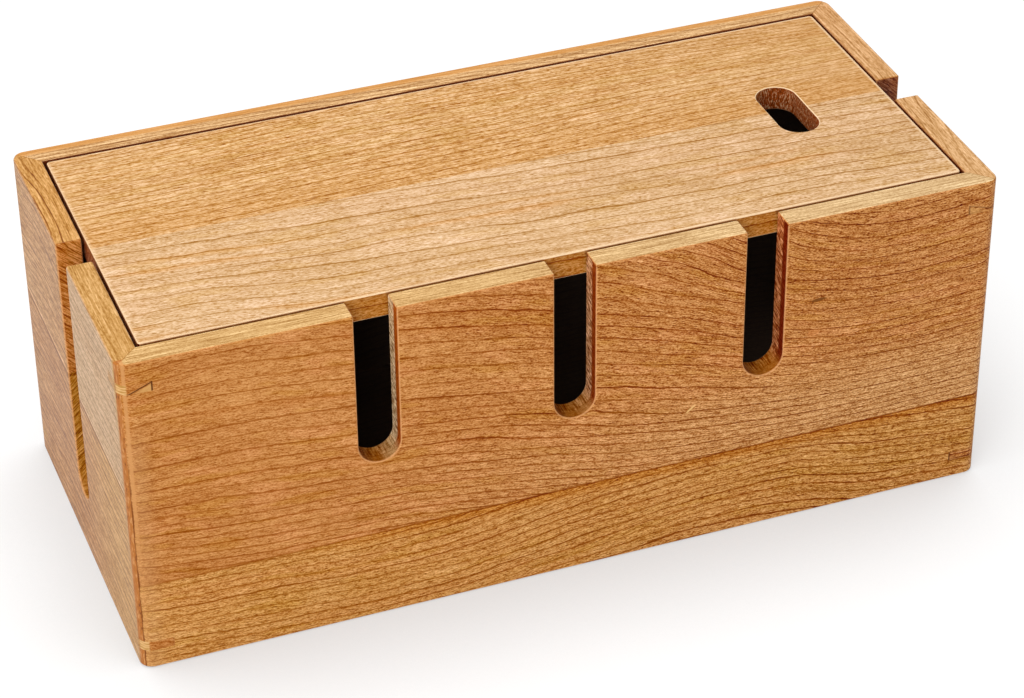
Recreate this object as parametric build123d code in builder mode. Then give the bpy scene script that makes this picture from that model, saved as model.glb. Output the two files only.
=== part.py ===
from build123d import *

import os

# A solid cherry box that hides a power strip and its leads: four walls mitred at the corners,
# a bottom panel in a groove, and a lid that drops in between the walls.
# Frame: X along the box, Y from front to back, Z up. The origin is under the middle of the box.
# All lengths are in millimetres.

# Outside of the box
box_length = 340.0
box_depth = 154.0
box_height = 134.0
wall = 10.0
corner_radius = 5.0  # the four upright corners
edge_ease = 0.6  # sanded arrises of the walls and the lid

# Each wall is glued up from two boards: the height of its lower one
front_glue_height = 37.5
back_glue_height = 60.0
left_glue_height = 77.0
right_glue_height = 70.0

# Cord slots, open at the rim and round at the bottom
slot_width = 16.0
slot_ease = 0.8  # rounded arrises along each slot
front_slot_count = 3
front_slot_pitch = 75.6
front_slot_shift = -0.5  # of the row, from the middle of the front
front_slot_bottom = 69.4  # lowest point, above the underside
end_slot_bottom = 26.0

# Bottom panel, let into a groove in the four walls
panel_thickness = 5.0
panel_lift = 2.5  # of its underside, above the walls' underside
groove_depth = 4.0
panel_gap = 0.3  # round the panel's edge, so that it can swell

# Keys, let into a saw cut across each mitre
key_thickness = 4.0
key_leg = 12.6  # from the corner, along each face
key_above_panel = 0.3
key_below_rim = 8.7

# Lid, flush with the rim
lid_thickness = 10.0
lid_gap = 1.0  # all round
lid_corner_radius = 1.5
hole_length = 36.0  # across the box
hole_width = 16.0
hole_from_end = 33.0  # from the lid's right end to the hole

# Blocks in the corners, which the lid lies on
rest_size = 12.0
rest_height = 15.0
rest_ease = 1.0

# Worked out from the above
half_length = box_length / 2
half_depth = box_depth / 2
inside_length = box_length - 2 * wall
inside_depth = box_depth - 2 * wall
lid_length = inside_length - 2 * lid_gap
lid_depth = inside_depth - 2 * lid_gap
lid_underside = box_height - lid_thickness
low_key_height = panel_lift + panel_thickness + key_above_panel
high_key_height = box_height - key_below_rim - key_thickness
key_heights = {"low": low_key_height, "high": high_key_height}
corners = {
    "front_left": (-1, -1),
    "front_right": (1, -1),
    "rear_left": (-1, 1),
    "rear_right": (1, 1),
}
across_the_box = Plane.ZX  # the upright plane along the middle, which faces the back
cut_past = 1.0  # a cutter goes on this far past the face that it leaves


def save(piece, name):
    """Labels a finished piece and writes its file."""
    piece.part.label = name
    export_step(piece.part, f"parts/{name}.step")


def mitred_plan(x_side, y_side):
    """The corners of a wall's plan: the wall on the side of the box that x_side or y_side names."""
    out_x, out_y = half_length, half_depth
    in_x, in_y = half_length - wall, half_depth - wall
    if y_side:
        return [
            (-out_x, y_side * out_y),
            (out_x, y_side * out_y),
            (in_x, y_side * in_y),
            (-in_x, y_side * in_y),
        ]
    return [
        (x_side * out_x, -out_y),
        (x_side * out_x, out_y),
        (x_side * in_x, in_y),
        (x_side * in_x, -in_y),
    ]


def key_plan(x_side, y_side):
    """The triangle of a key, before its tip is rounded with the corner."""
    x, y = x_side * half_length, y_side * half_depth
    return [(x, y), (x - x_side * key_leg, y), (x, y - y_side * key_leg)]


def rim_edges(faces):
    """The edges of a wall's top or bottom faces, without those on the mitres."""
    edges = faces.edges()
    return edges.filter_by(Axis.X) + edges.filter_by(Axis.Y) + edges.filter_by(GeomType.CIRCLE)


def whole_wall(x_side, y_side, slot_plane=None, slot_places=(), slot_bottom=0.0, through=None):
    """One wall before it is parted at its glue line, with its groove, key cuts and slots."""
    with BuildPart() as blank:
        with BuildSketch():
            RectangleRounded(box_length, box_depth, corner_radius)
            Polygon(*mitred_plan(x_side, y_side), align=None, mode=Mode.INTERSECT)
        extrude(amount=box_height)

        with BuildSketch(Plane.XY.offset(panel_lift)):
            Rectangle(inside_length + 2 * groove_depth, inside_depth + 2 * groove_depth)
        extrude(amount=panel_thickness, mode=Mode.SUBTRACT)

        for height in key_heights.values():
            with BuildSketch(Plane.XY.offset(height)):
                for side in corners.values():
                    Polygon(*key_plan(*side), align=None)
            extrude(amount=key_thickness, mode=Mode.SUBTRACT)

        if slot_places:
            with BuildSketch(slot_plane):
                with Locations(*[(place, slot_bottom + slot_width / 2) for place in slot_places]):
                    Circle(slot_width / 2)
                    Rectangle(slot_width, box_height, align=(Align.CENTER, Align.MIN))
            extrude(amount=wall + 2 * cut_past, mode=Mode.SUBTRACT)
            slot_edges = blank.edges(Select.LAST).group_by(through)
            fillet(slot_edges[0] + slot_edges[-1], slot_ease)

        levels = blank.faces().group_by(Axis.Z)
        fillet(rim_edges(levels[-1]) + rim_edges(levels[0]), edge_ease)
    return blank


def board(blank, glue_height, keep, side=None):
    """The board above or below a wall's glue line, or only its front or rear piece."""
    with BuildPart() as piece:
        add(blank.part)
        split(bisect_by=Plane.XY.offset(glue_height), keep=keep)
        if side:
            split(bisect_by=across_the_box, keep=side)
    return piece


os.makedirs("parts", exist_ok=True)

# Front wall: one long slot row in the upper board
front_slots = [
    front_slot_shift + (i - (front_slot_count - 1) / 2) * front_slot_pitch
    for i in range(front_slot_count)
]
front_wall = whole_wall(
    0,
    -1,
    slot_plane=Plane.XZ.offset(half_depth - wall - cut_past),
    slot_places=front_slots,
    slot_bottom=front_slot_bottom,
    through=Axis.Y,
)
save(board(front_wall, front_glue_height, Keep.BOTTOM), "front_lower_board")
save(board(front_wall, front_glue_height, Keep.TOP), "front_upper_board")

# Back wall: no slots
back_wall = whole_wall(0, 1)
save(board(back_wall, back_glue_height, Keep.BOTTOM), "back_lower_board")
save(board(back_wall, back_glue_height, Keep.TOP), "back_upper_board")

# End walls: the slot cuts the upper board in two
left_wall = whole_wall(
    -1,
    0,
    slot_plane=Plane.YZ.offset(-half_length - cut_past),
    slot_places=[0.0],
    slot_bottom=end_slot_bottom,
    through=Axis.X,
)
right_wall = whole_wall(
    1,
    0,
    slot_plane=Plane.YZ.offset(half_length - wall - cut_past),
    slot_places=[0.0],
    slot_bottom=end_slot_bottom,
    through=Axis.X,
)
for end, blank, glue_height in (
    ("left", left_wall, left_glue_height),
    ("right", right_wall, right_glue_height),
):
    save(board(blank, glue_height, Keep.BOTTOM), f"{end}_lower_board")
    save(board(blank, glue_height, Keep.TOP, Keep.BOTTOM), f"{end}_upper_front_board")
    save(board(blank, glue_height, Keep.TOP, Keep.TOP), f"{end}_upper_rear_board")

# Bottom panel, with its corners cut square
with BuildPart() as bottom_panel:
    with BuildSketch(Plane.XY.offset(panel_lift)):
        edge_depth = groove_depth - panel_gap
        Rectangle(inside_length + 2 * edge_depth, inside_depth + 2 * edge_depth)
    extrude(amount=panel_thickness)
bottom_panel.part.label = "bottom_panel"
export_step(bottom_panel.part, "parts/bottom_panel.step")

# Keys, flush with both faces and rounded with the corner
for corner, side in corners.items():
    for level, height in key_heights.items():
        with BuildPart() as key:
            with BuildSketch(Plane.XY.offset(height)):
                RectangleRounded(box_length, box_depth, corner_radius)
                Polygon(*key_plan(*side), align=None, mode=Mode.INTERSECT)
            extrude(amount=key_thickness)
        save(key, f"{corner}_{level}_key")

# Lid rests, one glued into each corner under the lid
for corner, (x_side, y_side) in corners.items():
    with BuildPart() as rest:
        middle = (
            x_side * (inside_length - rest_size) / 2,
            y_side * (inside_depth - rest_size) / 2,
        )
        with BuildSketch(Plane.XY.offset(lid_underside - rest_height)):
            with Locations(middle):
                Rectangle(rest_size, rest_size)
        extrude(amount=rest_height)
        free_edges = rest.edges().filter_by(Axis.Z).sort_by_distance((0, 0, lid_underside))
        fillet(free_edges[0], rest_ease)
    save(rest, f"{corner}_lid_rest")

# Lid, glued up from two boards along the middle, with the finger hole across the glue line
with BuildPart() as lid:
    with BuildSketch(Plane.XY.offset(lid_underside)):
        RectangleRounded(lid_length, lid_depth, lid_corner_radius)
        with Locations((lid_length / 2 - hole_from_end - hole_width / 2, 0)):
            SlotOverall(hole_length, hole_width, rotation=90, mode=Mode.SUBTRACT)
    extrude(amount=lid_thickness)
    faces = lid.faces().group_by(Axis.Z)
    fillet(faces[0].edges() + faces[-1].edges(), edge_ease)

with BuildPart() as lid_front_board:
    add(lid.part)
    split(bisect_by=across_the_box, keep=Keep.BOTTOM)
save(lid_front_board, "lid_front_board")

with BuildPart() as lid_rear_board:
    add(lid.part)
    split(bisect_by=across_the_box, keep=Keep.TOP)
save(lid_rear_board, "lid_rear_board")
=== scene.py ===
import math

import bpy
from mathutils import Matrix, Vector

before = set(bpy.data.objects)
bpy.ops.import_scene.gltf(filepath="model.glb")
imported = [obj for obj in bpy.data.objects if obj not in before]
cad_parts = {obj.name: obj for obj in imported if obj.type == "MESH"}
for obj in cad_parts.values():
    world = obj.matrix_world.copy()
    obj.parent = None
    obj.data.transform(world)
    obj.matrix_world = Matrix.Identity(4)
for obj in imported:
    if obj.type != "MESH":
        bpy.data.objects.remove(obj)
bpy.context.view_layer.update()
scene = bpy.context.scene
print("frame loaded:", len(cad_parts), "pieces of the box")

boxLayout = {  # mm, as the box stands
    "halfLength": 170.0,
    "halfDepth": 77.0,
    "wall": 10.0,
    "rim": 134.0,
    "slotSpan": (-76, 76),  # from the left cord slot to the right one
    "roundCorner": (5.2, 5.8),  # the upright corners' rounding ends here, in from the outside
}


def feed(tree, socket, value):
    # a colour may be given by its red, green and blue alone
    if isinstance(value, bpy.types.NodeSocket):
        tree.links.new(value, socket)
    elif value is not None and socket.type == "RGBA" and len(value) == 3:
        socket.default_value = (*value, 1.0)
    elif value is not None:
        socket.default_value = value


def addNode(tree, kind, settings=None, feeds=None):
    node = tree.nodes.new(kind)
    for name, value in (settings or {}).items():
        setattr(node, name, value)
    for name, value in (feeds or {}).items():
        feed(tree, node.inputs[name], value)
    return node


def calc(tree, operation, first, second=None):
    node = addNode(tree, "ShaderNodeMath", {"operation": operation})
    feed(tree, node.inputs[0], first)
    feed(tree, node.inputs[1], second)
    return node.outputs[0]


def product(tree, first, *others):
    for other in others:
        first = calc(tree, "MULTIPLY", first, other)
    return first


def total(tree, first, *others):
    for other in others:
        first = calc(tree, "ADD", first, other)
    return first


def minus(tree, first, second):
    return calc(tree, "SUBTRACT", first, second)


def size(tree, value):
    return calc(tree, "ABSOLUTE", value)


def apart(tree, first, second):
    return size(tree, minus(tree, first, second))


def larger(tree, first, second):
    return calc(tree, "MAXIMUM", first, second)


def above(tree, value, level):
    return calc(tree, "GREATER_THAN", value, level)


def below(tree, value, level):
    return calc(tree, "LESS_THAN", value, level)


def remap(tree, value, low, high, bottom, top, settings):
    ranges = {"Value": value, "From Min": low, "From Max": high, "To Min": bottom, "To Max": top}
    return addNode(tree, "ShaderNodeMapRange", settings, ranges).outputs["Result"]


def ease(tree, value, low, high, bottom=0.0, top=1.0):
    # a soft step from bottom to top as the value goes from low to high
    return remap(tree, value, low, high, bottom, top, {"interpolation_type": "SMOOTHSTEP"})


def straight(tree, value, low, high, bottom, top, clamp=False):
    return remap(tree, value, low, high, bottom, top, {"interpolation_type": "LINEAR", "clamp": clamp})


def between(tree, share, bottom, top):
    return straight(tree, share, 0.0, 1.0, bottom, top)


def blend(tree, factor, first, second):
    node = addNode(tree, "ShaderNodeMix", {"data_type": "RGBA", "clamp_factor": True})
    feed(tree, node.inputs[0], factor)
    feed(tree, node.inputs[6], first)
    feed(tree, node.inputs[7], second)
    return node.outputs[2]


def vector(tree, x, y, z):
    return addNode(tree, "ShaderNodeCombineXYZ", None, {0: x, 1: y, 2: z}).outputs[0]


def vectorCalc(tree, operation, first, second):
    return addNode(tree, "ShaderNodeVectorMath", {"operation": operation}, {0: first, 1: second}).outputs[0]


def scaled(tree, colour, share):
    node = addNode(tree, "ShaderNodeVectorMath", {"operation": "SCALE"}, {0: colour, "Scale": share})
    return node.outputs[0]


def gamma(tree, colour, power):
    return addNode(tree, "ShaderNodeGamma", None, {"Color": colour, "Gamma": power}).outputs[0]


def handCurve(tree, value, points, reach):
    # points are (place, value), and reach is the range that the values keep to
    span = points[0][0], points[-1][0]
    place = straight(tree, value, *span, 0.0, 1.0)
    node = addNode(tree, "ShaderNodeFloatCurve", None, {"Value": place})
    curve = node.mapping.curves[0]
    while len(curve.points) < len(points):
        curve.points.new(0.5, 0.5)
    for point, (x, y) in zip(curve.points, points):
        point.location = ((x - span[0]) / (span[1] - span[0]), (y - reach[0]) / (reach[1] - reach[0]))
        point.handle_type = "AUTO"
    node.mapping.update()
    return between(tree, node.outputs[0], *reach)


def noise(tree, grain, sizes, seed, detail=0.0, roughness=0.5):
    # sizes are the mean lengths of the marks in mm: with the fibres, across them, into the board
    place = addNode(tree, "ShaderNodeVectorMath", {"operation": "MULTIPLY_ADD"}, {
        0: grain, 1: tuple(1.0 / length for length in sizes), 2: (seed, seed * 0.7, seed * 1.3)})
    node = addNode(tree, "ShaderNodeTexNoise", {"noise_dimensions": "3D"}, {
        "Vector": place.outputs[0], "Scale": 1.0, "Detail": detail, "Roughness": roughness})
    return node.outputs[0]


def chance(tree, rings, seed):
    # one number from 0 to 1 for each growth ring
    number = total(tree, calc(tree, "FLOOR", rings), seed)
    return addNode(tree, "ShaderNodeTexWhiteNoise", {"noise_dimensions": "1D"}, {"W": number}).outputs[0]


def around(tree, value, amount):
    # noise from 0..1 to -amount..amount
    return product(tree, minus(tree, value, 0.5), amount * 2)


def sway(tree, grain, sizes, seed, amount):
    return around(tree, noise(tree, grain, sizes, seed, 1.0), amount)


def weigh(tree, value, raised, lowered):
    # what is above zero and what is below it, each by its own weight
    dips = product(tree, calc(tree, "MINIMUM", value, 0.0), lowered)
    return total(tree, product(tree, larger(tree, value, 0.0), raised), dips)


def near(tree, value, place, inner, outer):
    # 1 within inner of the place, 0 beyond outer
    return ease(tree, apart(tree, value, place), inner, outer, 1.0, 0.0)


def arrisOf(tree, normal):
    # 1 where a surface is halfway round an arris, 0 where it is flat
    square = product(tree, normal, normal)
    return product(tree, square, minus(tree, 1.0, square), 4.0)


def boardPlace(tree, axes):
    # where a point lies, in mm, and which way its face looks
    texture = addNode(tree, "ShaderNodeTexCoord")
    place = scaled(tree, texture.outputs["Object"], 1000.0)
    point = addNode(tree, "ShaderNodeSeparateXYZ", None, {0: place})
    facing = addNode(tree, "ShaderNodeSeparateXYZ", None, {0: texture.outputs["Normal"]})
    spot = dict(zip(("x", "y", "z", "normalX", "normalY", "normalZ"), (*point.outputs, *facing.outputs)))
    for part, letter in zip(("along", "across", "depth"), axes):
        spot[part] = spot[letter.lower()]
        spot[part + "Side"] = spot["normal" + letter]
        spot[part + "Normal"] = size(tree, spot["normal" + letter])
    spot["fromEnd"] = minus(tree, boxLayout["halfLength"], size(tree, spot["x"]))
    spot["fromFront"] = minus(tree, boxLayout["halfDepth"], size(tree, spot["y"]))
    spot["fromMitre"] = spot["fromFront"] if axes[0] == "Y" else spot["fromEnd"]
    return spot


growth = {  # how every board's growth lines run; sizes in mm, with the fibres, across and into the board
    "driftSize": (95, 28, 28),
    "wobbleSize": (26, 9, 9),
    "quiverSize": (4.2, 2.0, 2.0),
    "unevenSize": (400, 14, 14),
    "fadingSize": (38, 9, 9),
    "breakSize": (5.0, 0.8, 0.8),
    "patchSize": (55, 12, 12),
    "fading": (0.3, 0.7, 0.75, 1.15),  # low and high noise, and a line's strength at the two
    "broken": (0.3, 0.65),
    "lineSoftness": (0.2, 0.8),  # of lineWidth: full up to the first, gone at the second
    "patchSpread": (0.38, 0.6),
    "bandChance": (0.4, 0.8),
    "bandAt": (0.42, 0.08, 0.36),  # its place within a ring, half width where full and where gone
    "toneChange": (0.004, 0.6),  # of a ring's tone, by mm along and by ring
    "sweepReach": (-100, 60),  # mm that the sweeps may rise and fall
    "ringReach": (0, 100),  # rings that a board may count
    "tiltFrom": (4.5, 6.0),  # mm from the mitre: the rings tilt only beyond it
    "ringStep": 0.5,  # mm over which the rings' closeness is taken
    "widestRing": 0.02,  # rings in a mm
}


def growthLines(tree, wood, spot, seed):
    grain = vector(tree, spot["along"], spot["across"], spot["depth"])

    # the height of a point among the rings, once the board's sweep and unrest are taken off
    drift = sway(tree, grain, growth["driftSize"], seed, wood["drift"])
    wobble = sway(tree, grain, growth["wobbleSize"], seed + 5, wood["wobble"])
    quiver = sway(tree, grain, growth["quiverSize"], seed + 9, wood["quiver"])
    lowSweep = handCurve(tree, spot["along"], wood["lowSweep"], growth["sweepReach"])
    highSweep = handCurve(tree, spot["along"], wood["highSweep"], growth["sweepReach"])
    share = straight(tree, spot["across"], *wood["sweepAt"], 0.0, 1.0)
    sweep = total(tree, lowSweep, product(tree, share, minus(tree, highSweep, lowSweep)))
    tilt = ease(tree, spot["fromMitre"], *growth["tiltFrom"], 0.0, wood["tilt"])
    inward = product(tree, minus(tree, spot["depth"], wood["face"]), tilt)
    level = total(tree, minus(tree, spot["across"], sweep), drift, wobble, quiver, inward)

    # rings counted up to that height, and how close they lie there
    rings = handCurve(tree, level, wood["ringCount"], growth["ringReach"])
    further = total(tree, level, growth["ringStep"])
    further = handCurve(tree, further, wood["ringCount"], growth["ringReach"])
    perMillimetre = product(tree, minus(tree, further, rings), 1 / growth["ringStep"])
    perMillimetre = larger(tree, perMillimetre, growth["widestRing"])
    rings = total(tree, rings, sway(tree, grain, growth["unevenSize"], seed + 13, wood["uneven"]))
    within = calc(tree, "FRACT", rings)
    offLine = calc(tree, "DIVIDE", apart(tree, within, 0.5), perMillimetre)
    flow = vector(tree, spot["along"], level, spot["depth"])

    # each ring's dark line, and the latewood that deepens towards it
    strength = between(tree, chance(tree, rings, seed), wood["faintest"], 1.0)
    fading = straight(tree, noise(tree, flow, growth["fadingSize"], seed + 17), *growth["fading"])
    broken = noise(tree, flow, growth["breakSize"], seed + 19, 1.0)
    broken = straight(tree, broken, *growth["broken"], wood["breaks"], growth["fading"][-1])
    full, gone = [wood["lineWidth"] * share for share in growth["lineSoftness"]]
    line = ease(tree, offLine, full, gone, 1.0, 0.0)
    latewood = calc(tree, "POWER", product(tree, within, 2.0), 2.0)
    latewood = product(tree, latewood, below(tree, within, 0.5), wood["latewood"])
    dark = product(tree, total(tree, product(tree, line, broken), latewood), strength, fading)

    # some rings carry a band of deeper colour, and each has its own tone
    patches = ease(tree, noise(tree, flow, growth["patchSize"], seed + 53), *growth["patchSpread"])
    chosen = ease(tree, chance(tree, rings, seed + 50), *growth["bandChance"])
    band = product(tree, near(tree, within, *growth["bandAt"]), chosen, patches)
    byLength, byRing = growth["toneChange"]
    slowly = vector(tree, product(tree, spot["along"], byLength), product(tree, rings, byRing), seed)
    ringTone = noise(tree, slowly, (1, 1, 1), seed, 1.0)
    return {"grain": grain, "flow": flow, "dark": dark, "ringTone": ringTone, "band": band}


surface = {  # where one kind of surface gives way to the next, and the marks that all boards share
    "face": (0.3, 0.8),  # by how far it looks along the board's depth
    "edge": (0.75, 0.95),  # by how far it looks along the board's width
    "slotBottom": (0.15, 0.8),  # by how far it looks up
    "outerBand": (3.4, 4.5),  # mm in from the face, on a slot's walls
    "rimSpan": (-100, 140),  # mm along the rim, from its near tone to its far one
    "arrisSpread": (0.1, 0.9),
    "mottleSize": (24, 11, 11),
    "blotchSize": (90, 30, 30),
    "blotchSpread": (0.35, 0.65),
    "ringSpread": (0.4, 0.75),
    "flushPatches": (((21, 7, 7), 57, (0.52, 0.68)), ((26, 5, 5), 61, (0.54, 0.68))),  # size, seed, spread
    "speckleTurn": ((0.92, -0.39), (0.17, 0.98)),  # specks run a little aslant
    "fineWeights": (0.65, 1.2),  # of the light specks and of the dark ones
    "sawWeights": (0.6, 1.0),
    "rimLinesDeep": 0.25,  # weight of the rim's lines further in than edgeFade
    "contrastReach": (0, 3),
    "toneReach": (0, 2),
    "markFade": (0.35, 1.3),  # of a mark's oval, squared: full up to the first, gone at the second
    "flat": (0.5, 0.9),  # by how far it looks up
    "sawOnBottom": (0.1, 0.9, 1.0, 0.5),
    "backWall": (-0.2, 0.4),  # by how far a slot's wall looks right
    "bottomSides": ((0.9, 0.1), (0.0, -0.75)),  # by how far a bottom looks right, at its left and right
    "streakSize": (24, 0.6, 4),
    "chatterSize": (0.7, 0.7, 7.0),
    "reliefSize": (4, 0.9, 0.9),
    "reliefStrength": 0.5,
    "glueDeepens": (-120, -60),  # mm along the front, where the band at its glue line comes in
    "glintAt": (0.7, 0.2, 0.9),  # mm above the glue line, and half its width
    "mitreWidth": (0.1, 0.4),
    "mitreShade": 0.72,
    "grainOnEnds": 0.6,  # weight of the fine marks on cut ends
    "deepestLine": 0.3,
    "deepen": (1.5, 2.2),  # powers by which green and blue follow a broad shading of the red
    "slotArrisTop": (132.9, 133.5, 1.0, 0.3),  # mm up, where a slot's painted arris highlight fades, and how far
    "rimArrisShare": 0.45,
    "arrisDown": (1.0, 20.0),  # mm below the rim where its arris is looked for, walls and lid
    "gapShadeFrom": ((9.62, 9.85), (132.0, 133.0)),  # mm in from the outside, and up
    "gapShadeTone": (0.1, 0.02, 0.006),
    "insideSlack": 0.05,  # mm, so that the inner faces count as inside
    "insideLow": 5.0,  # mm up, where the inside starts
    "underRim": (129.5, 132),  # mm up: the inside's darkening ends here
    # painted shade: the band under the rim, seen down the gap round the lid, is dark red-brown
    "underRimTone": (0.14, 0.024, 0.004),
    "eyeGamma": 2.2,
    "contrastAll": 0.38,
    "darkest": (0.03, 0.02, 0.01),  # as the eye sees it
}


def surfaceKinds(tree, wood, spot):
    # how far a point is on face grain, edge grain, end grain and a slot's bottom
    face = ease(tree, spot["depthNormal"], *surface["face"])
    edge = ease(tree, spot["acrossNormal"], *surface["edge"])
    if wood["isWall"]:
        middle = boxLayout["rim"] / 2
        edge = product(tree, edge, above(tree, apart(tree, spot["z"], middle), middle - 1))
    spot["onFace"] = face
    spot["onEdge"] = edge
    spot["onEnd"] = product(tree, minus(tree, 1.0, face), minus(tree, 1.0, edge))
    spot["onBottom"] = ease(tree, spot["normalZ"], *surface["slotBottom"])
    spot["inBoard"] = apart(tree, spot["depth"], wood["face"])


def woodTone(tree, wood, spot, lines, seed):
    flow = lines["flow"]
    blotch = noise(tree, flow, surface["blotchSize"], seed + 33, 1.0)
    tone = blend(tree, ease(tree, blotch, *surface["blotchSpread"]), wood["colour"], wood["warm"])
    paleRings = ease(tree, lines["ringTone"], *surface["ringSpread"], 0.0, wood["paleShare"])
    tone = blend(tree, paleRings, tone, wood["pale"])
    if wood["flush"]:
        share, *flushTones = wood["flush"]
        for flushTone, (sizes, step, spread) in zip(flushTones, surface["flushPatches"]):
            patch = ease(tree, noise(tree, flow, sizes, seed + step, 1.0), *spread, 0.0, share)
            tone = blend(tree, patch, tone, flushTone)
    tone = blend(tree, product(tree, lines["band"], wood["bandShare"]), tone, wood["band"])
    if wood["lightPatch"]:
        alongSpan, acrossSpan, patch = wood["lightPatch"]
        share = product(tree, ease(tree, spot["along"], *alongSpan), ease(tree, spot["across"], *acrossSpan))
        tone = blend(tree, share, tone, patch)
    rimTone = blend(tree, ease(tree, spot["along"], *surface["rimSpan"]), wood["edge"], wood["edgeFar"])
    tone = blend(tree, spot["onEdge"], tone, rimTone)
    if wood["glueBand"]:
        low, high, deepTone = wood["glueBand"]
        deep = product(tree, ease(tree, spot["z"], low, high),
                       ease(tree, spot["along"], *surface["glueDeepens"]), spot["onFace"])
        tone = blend(tree, deep, tone, deepTone)
    return blend(tree, spot["onEnd"], tone, slotTone(tree, wood, spot))


def slotTone(tree, wood, spot):
    # a slot's walls, near the face and behind it, the wall that looks the other way, and the bottom
    toRight = ease(tree, spot["along"], *boxLayout["slotSpan"])
    side = spot["alongSide"]
    outer = blend(tree, toRight, wood["endOuter"], wood["endOuterFar"])
    inner = blend(tree, toRight, wood["end"], wood["endFar"])
    tone = blend(tree, ease(tree, spot["inBoard"], *surface["outerBand"]), outer, inner)
    tone = blend(tree, ease(tree, side, *surface["backWall"]), tone, wood["endBack"])
    # painted light and shade on the bottom's curve: darker where it faces right, lighter where it faces left
    atLeft, atRight = surface["bottomSides"]
    litBottom = blend(tree, toRight, wood["slotBottomLit"], wood["slotBottomLitFar"])
    bottom = blend(tree, ease(tree, side, *atLeft), wood["slotBottomShaded"], wood["slotBottom"])
    bottom = blend(tree, ease(tree, side, *atRight), bottom, litBottom)
    return blend(tree, spot["onBottom"], tone, bottom)


def woodLight(tree, wood, spot, lines, fibres, seed):
    # 1 for plain wood: lower in the lines and pores, higher between them
    along, across, depth = spot["along"], spot["across"], spot["depth"]
    onEdge, onEnd = spot["onEdge"], spot["onEnd"]

    # fibres, flecks, pores and mottling
    flecks = noise(tree, lines["flow"], wood["fleckSize"], seed + 25, 1.0, 0.6)
    turned = [total(tree, product(tree, along, byLength), product(tree, across, byWidth))
              for byLength, byWidth in surface["speckleTurn"]]
    speckle = noise(tree, vector(tree, *turned, depth), wood["speckleSize"], seed + 27, 2.0, 0.7)
    mottle = sway(tree, lines["flow"], surface["mottleSize"], seed + 29, wood["mottleDepth"])
    fine = total(tree, around(tree, speckle, wood["speckleDepth"]), around(tree, flecks, wood["fleckDepth"]))
    fine = weigh(tree, fine, *surface["fineWeights"])
    streaks = noise(tree, vector(tree, along, depth, across), surface["streakSize"], seed + 37, 2.0, 0.65)
    grainLight = total(tree, product(tree, fine, between(tree, onEdge, 1, wood["edgeFine"])),
                       around(tree, fibres, wood["fibreDepth"]), mottle,
                       product(tree, around(tree, streaks, wood["edgeStreaks"]), onEdge))

    # growth lines, weighed for the rim and for cut ends
    deeper = ease(tree, spot["inBoard"], *wood["edgeFade"], 1.0, surface["rimLinesDeep"])
    rimLines = product(tree, deeper, wood["edgeLines"])
    weight = total(tree, product(tree, onEdge, minus(tree, rimLines, 1.0)),
                   product(tree, onEnd, wood["endLines"] - 1), 1.0)
    lineLight = product(tree, lines["dark"], -wood["lineDepth"], weight)

    # saw marks on cut ends
    slant = total(tree, across, product(tree, depth, wood["hatchSlope"]))
    fall = total(tree, product(tree, across, -wood["hatchSlope"]), depth)
    hatch = noise(tree, vector(tree, slant, fall, along), wood["hatchSize"], seed + 41, 1.0, 0.6)
    chatter = noise(tree, lines["grain"], surface["chatterSize"], seed + 43, 1.0, 0.6)
    hatch = around(tree, between(tree, spot["onBottom"], hatch, chatter), wood["hatchDepth"])
    hatch = product(tree, weigh(tree, hatch, *surface["sawWeights"]), onEnd,
                    ease(tree, spot["normalZ"], *surface["sawOnBottom"]),
                    ease(tree, spot["inBoard"], *surface["outerBand"], wood["hatchOuter"], 1.0))

    shallow = between(tree, onEnd, 1.0, surface["grainOnEnds"])
    light = total(tree, product(tree, grainLight, shallow), hatch, 1.0)
    light = product(tree, light, larger(tree, total(tree, lineLight, 1.0), surface["deepestLine"]))
    return jointLight(tree, wood, spot, light)


def jointLight(tree, wood, spot, light):
    # glue lines and mitres show as thin dark lines
    if wood["glueAt"]:
        offset, inner, outer, glint = wood["glueLine"]
        glue = near(tree, spot["z"], wood["glueAt"] + offset, inner, outer)
        light = product(tree, light, between(tree, glue, 1, wood["glueShade"]))
        if glint:
            height, inner, outer = surface["glintAt"]
            shine = near(tree, spot["z"], wood["glueAt"] + height, inner, outer)
            light = total(tree, light, product(tree, shine, spot["onFace"], glint))
    if wood["isWall"]:
        mitre = near(tree, minus(tree, spot["fromEnd"], spot["fromFront"]), 0.0, *surface["mitreWidth"])
        mitre = product(tree, mitre, spot["onEdge"])
        light = product(tree, light, between(tree, mitre, 1, surface["mitreShade"]))
    return light


def lightenTone(tree, wood, spot, tone, light):
    # the marks shift the colour evenly as the eye sees it, so that the dark ones are the more orange
    gain = handCurve(tree, spot["along"], wood["contrast"], surface["contrastReach"])
    gain = between(tree, spot["onEdge"], gain, wood["edgeContrast"])
    gain = between(tree, spot["onEnd"], gain, 1.0)
    shift = product(tree, minus(tree, light, 1.0), gain, surface["contrastAll"])
    shifts = vector(tree, *[product(tree, shift, share) for share in wood["shiftShare"]])
    seen = vectorCalc(tree, "ADD", gamma(tree, tone, 1 / surface["eyeGamma"]), shifts)
    return gamma(tree, vectorCalc(tree, "MAXIMUM", seen, surface["darkest"]), surface["eyeGamma"])


def shadeTone(tree, wood, spot, tone):
    # painted shading: brightness along the board, and from slot to slot, as the light falls
    shading = 1.0
    if wood["slotWallShade"]:
        fade = straight(tree, spot["along"], *boxLayout["slotSpan"], *wood["slotWallShade"], True)
        walls = product(tree, spot["onEnd"], minus(tree, 1.0, spot["onBottom"]))
        shading = between(tree, walls, 1.0, fade)
    if wood["shadeAlong"]:
        fade = handCurve(tree, spot["along"], wood["shadeAlong"], surface["toneReach"])
        shading = product(tree, between(tree, spot["onEdge"], fade, 1.0), shading)
    if wood["slotWallShade"] or wood["shadeAlong"]:
        green, blue = [calc(tree, "POWER", shading, power) for power in surface["deepen"]]
        tone = vectorCalc(tree, "MULTIPLY", tone, vector(tree, shading, green, blue))
    return tone


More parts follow.
